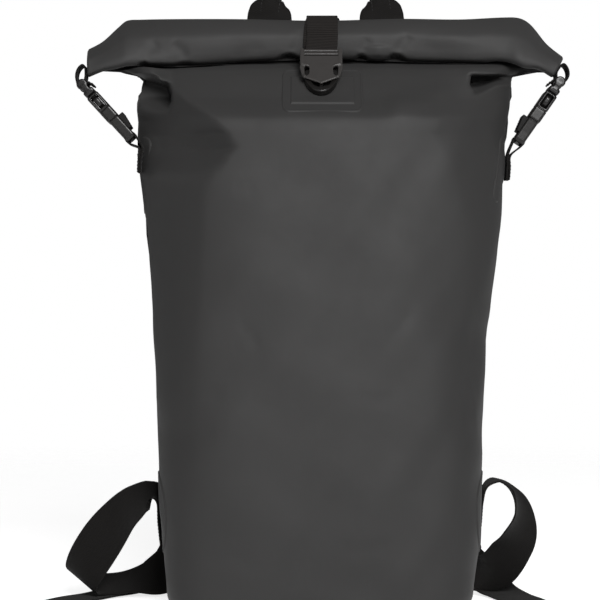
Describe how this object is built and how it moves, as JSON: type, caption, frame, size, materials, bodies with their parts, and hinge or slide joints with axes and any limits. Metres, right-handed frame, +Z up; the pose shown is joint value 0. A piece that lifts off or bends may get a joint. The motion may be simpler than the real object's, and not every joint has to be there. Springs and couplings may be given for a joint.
{
  "type": "roll-top waterproof backpack",
  "caption": "Roll-top waterproof backpack standing rolled shut, with a front hook buckle, side-release buckles, a webbing grab handle and padded shoulder straps.",
  "frame": {"origin": "middle of the flat base, on the surface that the bag stands on", "axes": "+X across the bag to the viewer's right, -Y out of its front, +Z up"},
  "size_m": [0.427, 0.2058, 0.5163],
  "materials": {
    "shell": "matte coated fabric",
    "patch": "smooth welded coated fabric",
    "webbing": "ribbed woven webbing",
    "plastic": "satin moulded plastic",
    "padding": "mesh over foam padding"
  },
  "bodies": {
    "root": {"bag_shell": "shell", "front_patch": "patch", "side_patch_l": "patch", "side_patch_r": "patch", "lower_patch_l": "patch", "lower_patch_r": "patch", "closure_strap": "webbing", "side_strap_l": "webbing", "side_strap_r": "webbing", "side_anchor_l": "webbing", "side_anchor_r": "webbing", "grab_handle": "webbing", "carry_webbing_l": "webbing", "carry_webbing_r": "webbing", "front_buckle_hook": "plastic", "front_buckle_ring": "plastic", "side_buckle_male_l": "plastic", "side_buckle_male_r": "plastic", "side_buckle_female_l": "plastic", "side_buckle_female_r": "plastic", "ladder_lock_l": "plastic", "ladder_lock_r": "plastic", "shoulder_strap_l": "padding", "shoulder_strap_r": "padding"}
  },
  "joints": []
}
